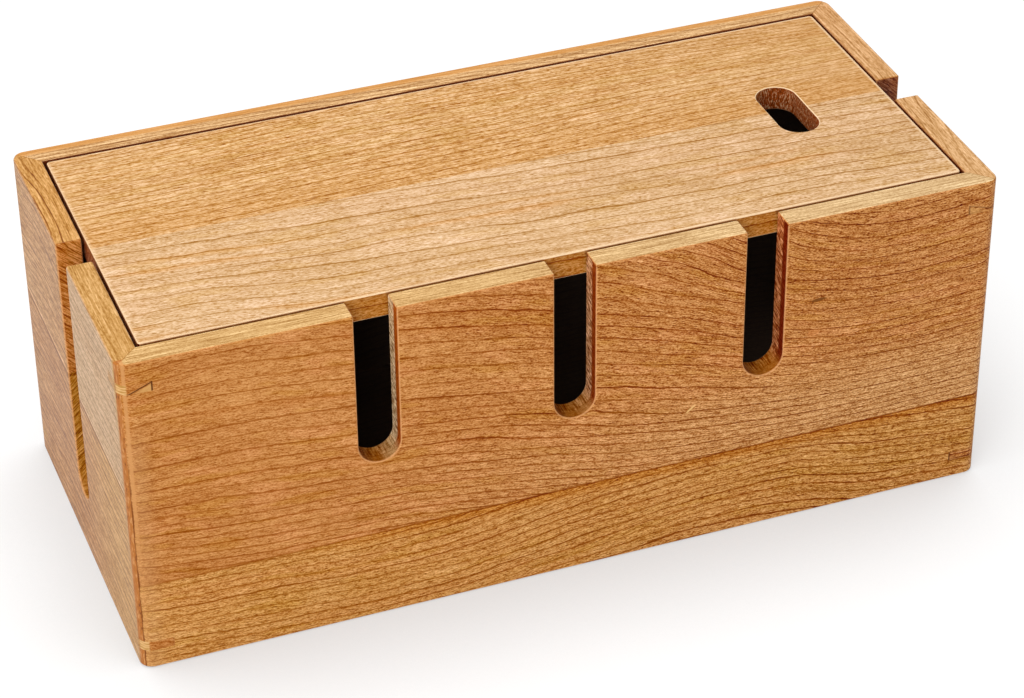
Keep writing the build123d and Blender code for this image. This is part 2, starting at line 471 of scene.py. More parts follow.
def paintArrisHighlights(tree, wood, spot, tone):
    # painted highlight: the arrises are paler, as where light catches them, but not where the corners are
    # round
    corner = larger(tree, ease(tree, spot["fromEnd"], *boxLayout["roundCorner"]),
                    ease(tree, spot["fromFront"], *boxLayout["roundCorner"]))
    onWall, onLid = surface["arrisDown"]
    rimStart = boxLayout["rim"] - (onWall if wood["isWall"] else onLid)
    slotArris = arrisOf(tree, spot["depthNormal"])
    rimArris = product(tree, arrisOf(tree, spot["normalZ"]), above(tree, spot["z"], rimStart))
    if wood["isWall"]:
        slotArris = product(tree, slotArris, ease(tree, spot["z"], *surface["slotArrisTop"]))
        rimArris = product(tree, rimArris, surface["rimArrisShare"])
    arris = product(tree, larger(tree, slotArris, rimArris), corner)
    arris = product(tree, ease(tree, arris, *surface["arrisSpread"]), wood["arrisShare"])
    return blend(tree, arris, tone, wood["arris"])


def darkenInside(tree, wood, spot, tone):
    # painted shade: the inner arrises at the rim are darkened, as the gap round the lid shades them
    if wood["isWall"]:
        inward, upward = surface["gapShadeFrom"]
        innerEdge = calc(tree, "MINIMUM", spot["fromEnd"], spot["fromFront"])
        gapShade = product(tree, ease(tree, innerEdge, *inward), ease(tree, spot["z"], *upward), wood["gapShade"])
        tone = blend(tree, gapShade, tone, surface["gapShadeTone"])

    # the inside is made dark, near black
    if wood["insideShade"] < 1.0:
        innerFace = boxLayout["wall"] - surface["insideSlack"]
        inside = product(tree, above(tree, spot["fromEnd"], innerFace),
                         above(tree, spot["fromFront"], innerFace),
                         above(tree, spot["z"], surface["insideLow"]))
        darkened = blend(tree, wood["insideDarkToneShare"], scaled(tree, tone, wood["insideShade"]), wood["insideDarkTone"])
        # painted shade: dark red-brown under the rim, where the gap round the lid is
        darkened = blend(tree, ease(tree, spot["z"], *surface["underRim"]), darkened, surface["underRimTone"])
        tone = blend(tree, inside, tone, darkened)
    return tone


def cherryMaterial(name, wood, seed, finish=None):
    material = bpy.data.materials.new(name)
    material.use_nodes = True
    tree = material.node_tree
    tree.nodes.clear()
    output = addNode(tree, "ShaderNodeOutputMaterial")
    shader = addNode(tree, "ShaderNodeBsdfPrincipled", None, {"Specular IOR Level": wood["shine"]})
    tree.links.new(shader.outputs[0], output.inputs[0])

    spot = boardPlace(tree, wood["axes"])
    surfaceKinds(tree, wood, spot)
    lines = growthLines(tree, wood, spot, seed)
    fibres = noise(tree, lines["flow"], wood["fibreSize"], seed + 21, 2.0, 0.6)
    tone = woodTone(tree, wood, spot, lines, seed)
    tone = lightenTone(tree, wood, spot, tone, woodLight(tree, wood, spot, lines, fibres, seed))
    tone = shadeTone(tree, wood, spot, tone)
    tone = paintArrisHighlights(tree, wood, spot, tone)
    if finish:
        tone = finish(tree, spot, tone)
    tree.links.new(darkenInside(tree, wood, spot, tone), shader.inputs["Base Color"])

    roughness = total(tree, wood["roughness"], around(tree, fibres, wood["roughnessSpread"]))
    tree.links.new(roughness, shader.inputs["Roughness"])
    relief = noise(tree, lines["grain"], surface["reliefSize"], seed + 45, 2.0, 0.7)
    bump = addNode(tree, "ShaderNodeBump", None, {
        "Height": relief, "Distance": wood["relief"], "Strength": surface["reliefStrength"]})
    tree.links.new(bump.outputs[0], shader.inputs["Normal"])
    return material


cornerStrip = {  # the worn band down the front left corner, with a painted highlight streak and a pale strip of wear and painted sheen; mm from the left end or from the front
    "frontWidth": (1.1, 1.6),
    "endWidth": (3.4, 4.2),
    "chipSize": (0.9, 4.0, 0.9),
    "chipLevels": ((0.5, 0.72), (0.42, 0.3)),  # noise that makes pale chips, and dark ones
    "red": (0.46, 0.155, 0.026),
    # the streak's colour: a painted highlight down the rounded corner, also used for the band's pale chips
    "streak": (0.62, 0.29, 0.1),
    "streakAt": (2.6, 0.3, 0.9),  # its place, and half its width where full and where gone
    "streakUp": (40, 80, 0.25, 0.85),  # mm up, and its share at the two heights
    "crack": (0.19, 0.05, 0.008),
    "crackAt": (1.5, 0.12, 0.5),
    "crackDown": (104, 70, 0.0, 0.95),
    "crackRuns": (9, 9, 9),
    "crackSway": 0.7,
    # pale strip: partly wear, partly painted sheen
    "paleStrip": (0.63, 0.35, 0.15),
    "paleWidth": (4.0, 12.0, 0.25, 0.0),  # and its share at the two
    "paleBelow": (112, 95),
    "endFace": (0.49, 0.28, 0.13),
    "endFaceTop": (0.56, 0.33, 0.09),
    "endFaceUp": (95, 128),
    "turn": (4.6, 6.4, 0.6, 0.0),
    "turnFacing": (0.3, 0.6, 1.0, 0.0),  # by how far it looks up
}


def wornBand(tree, spot):
    place = vector(tree, spot["x"], spot["z"], spot["y"])
    chips = noise(tree, place, cornerStrip["chipSize"], 11.0, 2.0, 0.7)
    pale, dark = cornerStrip["chipLevels"]
    band = blend(tree, ease(tree, chips, *pale), cornerStrip["red"], cornerStrip["streak"])
    return blend(tree, ease(tree, chips, *dark), band, cornerStrip["crack"])


frontMarks = {  # centre x and z, half length and half height, rise along the length, colour, share
    "knot": ((97.0, 98.0), (3.3, 0.75), 0.05, (0.17, 0.05, 0.006), 0.9),
    "blush": ((95.5, 83.4), (2.8, 1.8), 0.0, (0.68, 0.235, 0.065), 0.35),
    "paleChip": ((46.0, 61.2), (2.1, 0.6), 0.75, (0.87, 0.55, 0.21), 0.85),
    "smallChip": ((-49.5, 58.7), (1.6, 0.7), 0.2, (0.75, 0.4, 0.17), 0.5),
}


def markWood(tree, spot, tone):
    for (x, z), (halfLength, halfHeight), rise, colour, share in frontMarks.values():
        offX = minus(tree, spot["x"], x)
        offZ = total(tree, spot["z"], -z, product(tree, offX, -rise))
        offX = calc(tree, "DIVIDE", offX, halfLength)
        offZ = calc(tree, "DIVIDE", offZ, halfHeight)
        off = total(tree, product(tree, offX, offX), product(tree, offZ, offZ))
        tone = blend(tree, ease(tree, off, *surface["markFade"], share, 0.0), tone, colour)
    return tone


def frontCorner(tree, spot, tone):
    tone = markWood(tree, spot, tone)
    fromLeft = total(tree, spot["x"], boxLayout["halfLength"])
    band = ease(tree, fromLeft, *cornerStrip["frontWidth"], 1.0, 0.0)
    tone = blend(tree, band, tone, wornBand(tree, spot))
    # a pale strip by the corner: partly wear, partly painted sheen
    strip = product(tree, ease(tree, fromLeft, *cornerStrip["paleWidth"]),
                    ease(tree, spot["z"], *cornerStrip["paleBelow"]))
    tone = blend(tree, strip, tone, cornerStrip["paleStrip"])
    # painted highlight: a pale streak down the rounded corner
    streak = product(tree, near(tree, fromLeft, *cornerStrip["streakAt"]),
                     ease(tree, spot["z"], *cornerStrip["streakUp"]))
    tone = blend(tree, streak, tone, cornerStrip["streak"])
    ragged = noise(tree, vector(tree, 0.0, 0.0, spot["z"]), cornerStrip["crackRuns"], 3.0, 2.0, 0.6)
    ragged = total(tree, fromLeft, around(tree, ragged, cornerStrip["crackSway"]))
    crack = product(tree, near(tree, ragged, *cornerStrip["crackAt"]),
                    ease(tree, spot["z"], *cornerStrip["crackDown"]))
    return blend(tree, crack, tone, cornerStrip["crack"])


def endCorner(tree, spot, tone):
    high = ease(tree, spot["z"], *cornerStrip["endFaceUp"])
    smooth = blend(tree, high, cornerStrip["endFace"], cornerStrip["endFaceTop"])
    onFront = below(tree, spot["y"], 0.0)
    turn = product(tree, ease(tree, spot["fromFront"], *cornerStrip["turn"]), onFront,
                   ease(tree, spot["normalZ"], *cornerStrip["turnFacing"]))
    tone = blend(tree, turn, tone, smooth)
    band = product(tree, ease(tree, spot["fromFront"], *cornerStrip["endWidth"], 1.0, 0.0), onFront)
    return blend(tree, band, tone, wornBand(tree, spot))


fingerHole = {  # mm, from the middle of the box
    "middle": 118.0,
    "reach": (8.6, 18.6),
    "wall": (0.33, 0.06, 0.005),
    "wallLeft": (0.38, 0.09, 0.0035),
    "leftSpan": (112, 117),
    "wallRight": (0.52, 0.09, 0.008),
    "rightSpan": (-8, -14),
    "specks": (0.62, 0.38, 0.2),
    "speckSize": (0.42, 0.42, 1.5),
    "speckLevel": (0.53, 0.66),
    "speckSpan": ((110.5, 114), (-15, -8)),
    "speckFewest": 0.25,  # the share of the specks beyond that span
    "pores": (0.12, 0.024, 0.003),
    "poreLevel": (0.48, 0.36),
    "wallFacing": (0.35, 0.6, 1.0, 0.0),  # by how far it looks up
}


def holeWall(tree, spot):
    place = vector(tree, spot["x"], spot["y"], spot["z"])
    specks = noise(tree, place, fingerHole["speckSize"], 5.0, 1.0, 0.75)
    toRight = ease(tree, spot["x"], *fingerHole["leftSpan"])
    wall = blend(tree, toRight, fingerHole["wallLeft"], fingerHole["wall"])
    wall = blend(tree, ease(tree, spot["y"], *fingerHole["rightSpan"]), wall, fingerHole["wallRight"])
    wall = blend(tree, ease(tree, specks, *fingerHole["poreLevel"]), wall, fingerHole["pores"])
    speckX, speckY = fingerHole["speckSpan"]
    middle = product(tree, ease(tree, spot["x"], *speckX), ease(tree, spot["y"], *speckY))
    share = product(tree, ease(tree, specks, *fingerHole["speckLevel"]),
                    between(tree, middle, fingerHole["speckFewest"], 1.0))
    return blend(tree, share, wall, fingerHole["specks"])


lidOutline = {  # mm
    "halfLength": 159.0,
    "halfDepth": 66.0,
    "sandedWidth": (0.8, 1.5, 0.6, 0.0),  # and its share at the two
    "sandedAlong": (-165, 60, 0.4, 1.0),
    "sanded": (0.88, 0.64, 0.4),
    "slotShift": 0.5,  # of the front's slots, to the left of the middle
    "halfPitch": 37.8,  # from one slot to halfway to the next
    "slotEdge": (7.6, 8.2),
    "slotsEnd": 90.0,
    "upperEdge": (131.5, 132.6),
    "gapShadeMarks": {  # painted shade on the lid's edge, from the gap: width, colour
        "soft": ((0.12, 0.34), (0.4, 0.14, 0.035)),
        "sharp": ((0.02, 0.16), (0.16, 0.035, 0.006)),
    },
    "gapShadeShare": 0.4,
    "gapAtSlots": 0.25,  # what is left of it above the cord slots
}


def lidEdges(tree, spot, tone):
    reachX, reachY = fingerHole["reach"]
    nearHole = product(tree, below(tree, apart(tree, spot["x"], fingerHole["middle"]), reachX),
                       below(tree, size(tree, spot["y"]), reachY))
    upright = ease(tree, size(tree, spot["normalZ"]), *fingerHole["wallFacing"])
    tone = blend(tree, product(tree, nearHole, upright), tone, holeWall(tree, spot))

    # painted highlight: the outline is paler, more so towards the right
    fromOutline = calc(tree, "MINIMUM", minus(tree, lidOutline["halfLength"], size(tree, spot["x"])),
                       minus(tree, lidOutline["halfDepth"], size(tree, spot["y"])))
    sanded = product(tree, ease(tree, fromOutline, *lidOutline["sandedWidth"]),
                     ease(tree, spot["normalZ"], *surface["flat"]),
                     ease(tree, spot["x"], *lidOutline["sandedAlong"]))
    tone = blend(tree, sanded, tone, lidOutline["sanded"])

    # painted shade: its upper edge is darkened as the gap shades it, less so above the cord slots
    fromSlot = size(tree, total(tree, spot["x"], lidOutline["slotShift"]))
    fromSlot = calc(tree, "PINGPONG", fromSlot, lidOutline["halfPitch"])
    inSlot = product(tree, ease(tree, fromSlot, *lidOutline["slotEdge"], 1.0, 0.0),
                     below(tree, size(tree, spot["x"]), lidOutline["slotsEnd"]))
    high = product(tree, ease(tree, spot["z"], *lidOutline["upperEdge"]),
                   between(tree, inSlot, 1.0, lidOutline["gapAtSlots"]))
    for width, colour in lidOutline["gapShadeMarks"].values():
        share = product(tree, ease(tree, fromOutline, *width, lidOutline["gapShadeShare"], 0.0), high)
        tone = blend(tree, share, tone, colour)
    return tone


rearRimEdge = {
    "width": (3.2, 4.4),
    "share": 0.7,
    "colour": (0.62, 0.27, 0.06),
}


def rearRim(tree, spot, tone):
    outer = product(tree, ease(tree, spot["fromFront"], *rearRimEdge["width"], rearRimEdge["share"], 0.0),
                    ease(tree, spot["normalZ"], *surface["flat"]))
    return blend(tree, outer, tone, rearRimEdge["colour"])


def finishBoard(node, wood, seed, finish=None):
    material = cherryMaterial(node.replace("_", " "), wood, seed, finish)
    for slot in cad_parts[node].material_slots:
        slot.material = material


cutEnds = ("end", "endFar", "endOuter", "endOuterFar", "endBack")
wallInner = ("end", "endFar")
wallOuter = ("endOuter", "endOuterFar")
slotFloor = ("slotBottom", "slotBottomShaded", "slotBottomLit", "slotBottomLitFar")
wholeRim = ("edge", "edgeFar")

frontUpper = {
    "axes": "XZY",  # of the board's length, width and depth
    "isWall": True,
    "glueAt": 37.5,  # mm up, 0 where no glue line is drawn
    "face": -77.0,  # mm along the depth axis, where the board's face lies
    "colour": (0.552, 0.228, 0.063),
    "warm": (0.522, 0.204, 0.05),  # patches
    "pale": (0.6, 0.265, 0.076),  # paler rings
    "paleShare": 0.6,
    "band": (0.5, 0.17, 0.028),  # in some rings
    "bandShare": 0.3,
    "flush": (0.55, (0.66, 0.28, 0.095), (0.5, 0.2, 0.028)),  # share, pink patches, golden patches
    "lightPatch": ((-120, 160), (80, 50), (0.625, 0.318, 0.118)),  # its span along, its span across, tone
    "edge": (0.608, 0.365, 0.142),  # the rim's near end
    "edgeFar": (0.65, 0.43, 0.21),
    "end": (0.62, 0.4, 0.2),  # walls of the left slot, behind their outer band
    "endFar": (0.58, 0.185, 0.055),  # of the right slot
    "endOuter": (0.36, 0.07, 0.002),  # outer band, left slot
    "endOuterFar": (0.23, 0.022, 0.002),  # right slot
    "endBack": (0.5, 0.23, 0.08),  # walls that look right
    # painted light: the slot walls brighter in the left slot than in the right
    "slotWallShade": (1.2, 0.97),  # brightness of the walls, left and right
    "slotBottom": (0.42, 0.142, 0.0135),
    "slotBottomShaded": (0.29, 0.085, 0.019),
    "slotBottomLit": (0.6, 0.336, 0.132),  # left slot
    "slotBottomLitFar": (0.524, 0.18, 0.022),  # right slot
    # painted highlight on the eased arrises, and its share
    "arris": (0.78, 0.4, 0.17),
    "arrisShare": 0.55,
    "shiftShare": (0.82, 0.9, 0.86),  # how far marks shift red, green and blue
    "contrast": [  # (mm along, gain of the marks)
        (-175, 0.84), (-110, 0.78), (-38, 1.08), (38, 1.34), (90, 1.5), (175, 1.5),
    ],
    "edgeContrast": 1.35,
    # painted shade: brightness along the board, as the light falls off
    "shadeAlong": [  # (mm along, brightness)
        (-175, 0.97), (-100, 1.0), (-60, 0.98), (60, 0.97), (110, 0.95), (175, 0.97),
    ],
    "lineDepth": 0.7,  # growth lines
    "lineWidth": 0.56,
    "latewood": 0.12,
    "breaks": 0.6,  # 1 for unbroken lines
    "faintest": 0.55,
    "edgeLines": 0.35,  # their weight on the rim
    "endLines": 0.6,  # and on cut ends
    "fibreDepth": 0.14,
    "fibreSize": (15, 1.3, 1.3),
    "fleckDepth": 1.0,
    "fleckSize": (2.6, 0.42, 0.42),
    "speckleDepth": 1.15,
    "speckleSize": (0.9, 0.42, 0.42),
    "mottleDepth": 0.07,
    "edgeFine": 0.45,  # weight of flecks on the rim
    "edgeStreaks": 0.8,
    "edgeFade": (11, 12),  # mm in from the face, where rim lines fade
    "hatchDepth": 3.4,  # saw marks
    "hatchSize": (0.75, 3.5, 5.0),
    "hatchSlope": -0.38,
    "hatchOuter": 0.2,
    "drift": 2.2,  # mm that lines stray over 95 mm
    "wobble": 0.9,  # over 26 mm
    "quiver": 0.42,  # over 4 mm
    "uneven": 0.5,  # rings
    "tilt": 2.4,  # of the rings into the board
    "sweepAt": (46, 126),  # mm across, where the low and high sweeps hold
    "lowSweep": [  # (mm along, mm that the lines rise)
        (-175, 8), (-130, 3), (-90, 0), (-50, -4), (-10, -11), (30, -19), (70, -24), (110, -27),
        (175, -26),
    ],
    "highSweep": [
        (-175, 1), (-130, 3), (-90, -1), (-40, -9), (0, -19), (40, -36), (75, -61), (100, -78), (125, -86),
        (150, -85), (175, -80),
    ],
    "ringCount": [  # (mm across, rings up to there)
        (20, 0), (60, 11), (80, 15.4), (110, 20.6), (150, 26.8), (260, 40),
    ],
    "glueShade": 0.6,
    "glueLine": (0.0, 0.15, 0.65, 0.0),  # offset, half width where full and where gone, glint
    "glueBand": None,  # from, to, tone
    "gapShade": 0.5,  # at the inner arris
    "insideShade": 0.25,
    "insideDarkTone": (0.09, 0.07, 0.06),
    "insideDarkToneShare": 0.72,
    "shine": 0.05,
    "roughness": 0.42,
    "roughnessSpread": 0.08,
    "relief": 0.00004,  # metres
}

gentleWave = [  # (mm along, mm that the lines rise)
    (-175, 0), (-120, -2.5), (-60, -4), (-20, 0.5), (20, 5.5), (60, 8), (90, 6.5), (125, 0), (175, -4),
]
frontLower = {
    **frontUpper,
    "colour": (0.6, 0.281, 0.076),
    "warm": (0.55, 0.256, 0.055),
    "band": (0.52, 0.2, 0.03),
    "flush": (0.45, (0.66, 0.34, 0.11), (0.52, 0.235, 0.03)),
    "lightPatch": None,
    "contrast": [(-175, 0.98), (-60, 1.06), (40, 1.22), (175, 1.38)],
    "shadeAlong": [(-175, 1.0), (-100, 1.0), (0, 0.97), (110, 0.95), (175, 0.95)],
    "drift": 2.0,
    "wobble": 1.1,
    "sweepAt": (5, 34),
    "lowSweep": gentleWave,
    "highSweep": gentleWave,
    "ringCount": [(-30, 0), (20, 14), (70, 28)],
    "glueShade": 0.5,
    "glueBand": (31.5, 36.5, (0.53, 0.205, 0.03)),
}

lidRear = {
    **frontUpper,
    "axes": "XYZ",
    "isWall": False,
    "glueAt": 0.0,
    "face": 134.0,
    "colour": (0.635, 0.366, 0.158),
    "warm": (0.595, 0.32, 0.118),
    "pale": (0.685, 0.42, 0.18),
    "band": (0.62, 0.3, 0.085),
    "flush": (0.45, (0.74, 0.45, 0.22), (0.56, 0.3, 0.08)),
    "lightPatch": ((-300, -200), (26, 6), (0.605, 0.322, 0.115)),
    # the lid's edges and cut ends are darker: partly their grain, partly painted shade where they stand in
    # the gap
    **dict.fromkeys(wholeRim, (0.53, 0.222, 0.04)),
    **dict.fromkeys(wallInner + wallOuter, (0.28, 0.078, 0.018)),
    "endBack": (0.42, 0.17, 0.06),
    "slotWallShade": None,
    # painted highlight on the lid's arrises, and its share
    "arris": (1.0, 0.78, 0.5),
    "arrisShare": 0.7,
    "shiftShare": (0.8, 0.97, 1.2),
    "contrast": [(-175, 0.98), (120, 0.98), (145, 0.82), (175, 0.8)],
    "edgeContrast": 1.0,
    "shadeAlong": [(-175, 1.0), (80, 1.0), (130, 0.97), (175, 0.97)],
    "lineDepth": 0.56,
    "latewood": 0.16,
    "breaks": 0.5,
    "faintest": 0.5,
    "edgeLines": 2.2,
    "fibreDepth": 0.12,
    "fleckDepth": 0.85,
    "fleckSize": (6.0, 0.45, 0.45),
    "speckleDepth": 1.12,
    "speckleSize": (1.6, 0.45, 0.45),
    "mottleDepth": 0.1,
    "edgeFine": 1.0,
    "edgeStreaks": 0.0,
    "hatchDepth": 2.6,
    "hatchSize": (0.5, 5.0, 5.0),
    "hatchSlope": 0.05,
    "hatchOuter": 1.0,
    "drift": 1.2,
    "wobble": 0.5,
    "quiver": 0.28,
    "tilt": 1.4,
    "sweepAt": (5, 60),
    "lowSweep": [(-175, 0), (0, 4), (100, 9), (175, 11)],
    "highSweep": [(-175, 0), (-110, 0), (-60, 3), (0, 3), (50, 3.5), (100, 1.5), (175, -5)],
    "ringCount": [(-30, 0), (18, 9), (90, 33)],
    "insideShade": 1.0,
    "shine": 0.06,
}

lidFront = {
    **lidRear,
    "colour": (0.655, 0.408, 0.215),
    "warm": (0.625, 0.385, 0.19),
    "pale": (0.715, 0.475, 0.265),
    "band": (0.66, 0.33, 0.105),
    "bandShare": 0.45,
    "flush": (0.5, (0.76, 0.5, 0.3), (0.6, 0.35, 0.13)),
    "lightPatch": None,
    "contrast": [(-175, 0.98), (110, 1.0), (175, 1.08)],
    "shadeAlong": [(-175, 1.0), (60, 0.98), (130, 0.965), (175, 0.965)],
    "lineDepth": 0.85,
    "lineWidth": 0.5,
    "latewood": 0.22,
    "breaks": 0.85,
    "faintest": 0.4,
    "fibreDepth": 0.08,
    "fleckDepth": 0.6,
    "speckleDepth": 1.2,
    "drift": 3.4,
    "wobble": 1.3,
    "sweepAt": (-50, -5),
    "lowSweep": [
        (-175, 2), (-135, 0), (-90, -7), (-50, -8.5), (10, -14), (50, -16.5), (90, -16), (140, -19),
        (175, -22),
    ],
    "highSweep": [(-175, 0), (0, -10), (175, -20)],
    "ringCount": [(-90, 0), (-30, 7), (40, 19)],
}

leftUpperRear = {
    **frontUpper,
    "axes": "YZX",
    "glueAt": 77.0,
    "face": -170.0,
    "colour": (0.51, 0.255, 0.088),
    "warm": (0.485, 0.23, 0.073),
    "pale": (0.54, 0.28, 0.105),
    "bandShare": 0.0,
    "flush": None,
    "lightPatch": None,
    **dict.fromkeys(wholeRim, (0.57, 0.285, 0.078)),
    **dict.fromkeys(wallInner, (0.61, 0.24, 0.05)),
    **dict.fromkeys(wallOuter, (0.6, 0.22, 0.042)),
    "endBack": (0.61, 0.24, 0.05),
    "slotWallShade": None,
    **dict.fromkeys(slotFloor, (0.4, 0.15, 0.014)),
    "shiftShare": (1.0, 1.05, 1.15),
    "contrast": [(-175, 1.1), (175, 1.1)],
    "edgeContrast": 1.1,
    "shadeAlong": None,
    "lineDepth": 0.5,
    "edgeLines": 1.7,
    "endLines": 1.3,
    "fibreDepth": 0.3,
    "fibreSize": (40, 1.1, 1.1),
    "fleckDepth": 0.5,
    "fleckSize": (12, 0.8, 0.8),
    "speckleDepth": 0.8,
    "speckleSize": (3.0, 0.7, 0.7),
    "mottleDepth": 0.14,
    "edgeFine": 0.7,
    "edgeStreaks": 0.5,
    "edgeFade": (4, 6.5),
    "hatchDepth": 1.3,
    "hatchSize": (0.55, 7.0, 4.0),
    "hatchSlope": 0.8,
    "hatchOuter": 1.0,
    "quiver": 0.3,
    "tilt": 1.1,
    "sweepAt": (10, 120),
    "lowSweep": [(-175, 0), (-77, -3), (0, 2), (77, -2), (175, 0)],
    "highSweep": [(-175, 0), (-77, 5), (-20, 1), (30, 3), (77, -3), (175, 0)],
    "ringCount": [(-60, 0), (60, 30), (190, 64)],
    "glueLine": (-0.9, 0.3, 1.0, 0.25),
    "gapShade": 0.75,
    "shine": 0.13,
}

leftUpperFront = {
    **leftUpperRear,
    "colour": (0.575, 0.355, 0.18),
    "warm": (0.56, 0.33, 0.155),
    "pale": (0.62, 0.38, 0.19),
    **dict.fromkeys(wholeRim, (0.555, 0.295, 0.087)),
    "contrast": [(-175, 1.0), (175, 1.0)],
    "edgeLines": 0.6,
    "fibreDepth": 0.22,
    "fleckDepth": 0.3,
    "glueShade": 0.75,
    "gapShade": 0.45,
}

leftLower = {
    **leftUpperRear,
    "colour": (0.493, 0.237, 0.082),
    "warm": (0.473, 0.216, 0.071),
    "pale": (0.54, 0.274, 0.105),
    "lightPatch": ((0, -60), (200, 100), (0.56, 0.3, 0.098)),
    **dict.fromkeys(cutEnds, (0.53, 0.215, 0.022)),
    **dict.fromkeys(slotFloor, (0.45, 0.17, 0.018)),
    "contrast": [(-175, 1.15), (175, 1.15)],
    "fibreDepth": 0.34,
    "speckleDepth": 0.6,
    "hatchSlope": -0.8,
    "tilt": -1.0,
}

rightUpper = {
    **leftUpperRear,
    "glueAt": 70.0,
    "face": 170.0,
    "colour": (0.53, 0.25, 0.085),
    "warm": (0.5, 0.225, 0.072),
    "pale": (0.57, 0.285, 0.105),
    "edge": (0.615, 0.345, 0.143),
    "edgeFar": (0.603, 0.31, 0.119),
    # painted shade: the right end's slot walls are dark, as they lie in shadow
    **dict.fromkeys(wallInner, (0.23, 0.066, 0.02)),
    **dict.fromkeys(wallOuter, (0.28, 0.08, 0.02)),
    "endBack": (0.4, 0.16, 0.06),
    "contrast": [(-175, 1.15), (175, 1.15)],
    "edgeLines": 0.65,
    "fibreDepth": 0.28,
    "edgeFade": (11, 12),
    "lowSweep": [(-175, 0), (-70, 3), (0, -3), (70, 2), (175, 0)],
    "highSweep": [(-175, 0), (-70, -4), (-20, 2), (30, 6), (175, -2)],
    "ringCount": [(-60, 0), (60, 24), (190, 52)],
    "gapShade": 0.4,
}

rightLower = {
    **rightUpper,
    **dict.fromkeys(cutEnds, (0.44, 0.17, 0.03)),
}

backUpper = {
    **frontUpper,
    "glueAt": 60.0,
    "face": 77.0,
    **dict.fromkeys(wholeRim, (0.62, 0.36, 0.155)),
    "contrast": [(-175, 1.0), (175, 1.0)],
    "edgeContrast": 1.7,
    "edgeLines": 1.1,
    "gapShade": 0.95,
}

backLower = {
    **frontLower,
    "glueAt": 60.0,
    "face": 77.0,
    "contrast": [(-175, 1.0), (175, 1.0)],
    "glueBand": (52, 58.5, (0.53, 0.22, 0.04)),
}

panelWood = {
    **frontLower,
    "axes": "XYZ",
    "isWall": False,
    "glueAt": 0.0,
    "face": 2.5,
}

keyWood = {
    **frontUpper,
    "glueAt": 0.0,
    "colour": (0.56, 0.22, 0.045),
    "flush": None,
    "lightPatch": None,
    **dict.fromkeys(cutEnds, (0.56, 0.31, 0.12)),
    "slotWallShade": None,
    "hatchDepth": 0.3,
    "insideShade": 1.0,
}

restWood = {
    **leftUpperRear,
    "glueAt": 0.0,
    "insideShade": 0.55,
    "insideDarkToneShare": 0.3,
}

keyLook = {  # the corner keys, mm up from the key's underside and in from the box's end
    "thickness": 4.0,
    "lowAt": 7.8,
    "highAt": 121.3,
    "endLineAt": (12.3, 0.15, 0.5),
    "outlineWidth": (0.05, 0.4),
    "diagonalWidth": (0.05, 0.5),
    "palerUnder": (-0.9, -0.3),  # up from the diagonal
    "palerFrom": (4, 10),
    "palerShare": 0.85,
    "cornerWidth": (2.8, 3.6),
    "streakSize": (6.0, 0.7, 1.0),
    "paler": (0.64, 0.34, 0.11),
    "line": (0.12, 0.035, 0.007),
    "cream": (0.76, 0.47, 0.2),
    "creamStreak": (0.5, 0.25, 0.06),
    "creamLevels": (0.35, 0.6),
}
keyMarks = {  # shares of the cream corner, end line, outline and diagonal; where the diagonal runs
    "front_left_high_key": (1.0, 1.0, 0.0, 1.0, (3.5, 0.0), (12.6, 3.8)),
    "front_left_low_key": (1.0, 0.2, 0.0, 0.0, (3.5, 0.0), (12.6, 3.8)),
    "front_right_high_key": (0.0, 0.7, 0.15, 0.6, (12.6, 3.8), (3.0, 1.0)),
    "front_right_low_key": (0.0, 0.9, 0.5, 0.3, (12.6, 2.5), (8.0, 0.5)),
}


def keyFinish(marks, low):
    cornerShare, endLineShare, outlineShare, diagonalShare, (startX, startZ), (endX, endZ) = marks

    def dress(tree, spot, tone):
        across = spot["fromEnd"]
        up = minus(tree, spot["z"], low)
        endLine = product(tree, near(tree, across, *keyLook["endLineAt"]), endLineShare)
        edges = larger(tree, near(tree, up, 0.0, *keyLook["outlineWidth"]),
                       near(tree, up, keyLook["thickness"], *keyLook["outlineWidth"]))
        outline = product(tree, edges, outlineShare)
        slope = (endZ - startZ) / (endX - startX)
        height = total(tree, product(tree, minus(tree, across, startX), slope), startZ)
        diagonal = product(tree, near(tree, up, height, *keyLook["diagonalWidth"]), diagonalShare)
        lines = larger(tree, endLine, larger(tree, outline, diagonal))
        under = product(tree, ease(tree, minus(tree, up, height), *keyLook["palerUnder"], 1.0, 0.0),
                        ease(tree, across, *keyLook["palerFrom"]), keyLook["palerShare"], diagonalShare)
        tone = blend(tree, under, tone, keyLook["paler"])
        tone = blend(tree, lines, tone, keyLook["line"])
        corner = product(tree, ease(tree, across, *keyLook["cornerWidth"], 1.0, 0.0),
                         ease(tree, spot["fromFront"], *keyLook["cornerWidth"], 1.0, 0.0), cornerShare)
        roundCorner = vector(tree, minus(tree, spot["x"], spot["y"]), spot["z"], 0.0)
        streaks = noise(tree, roundCorner, keyLook["streakSize"], 3.0, 1.0)
        streaks = ease(tree, streaks, *keyLook["creamLevels"])
        cream = blend(tree, streaks, keyLook["creamStreak"], keyLook["cream"])
        return blend(tree, corner, tone, cream)
    return dress


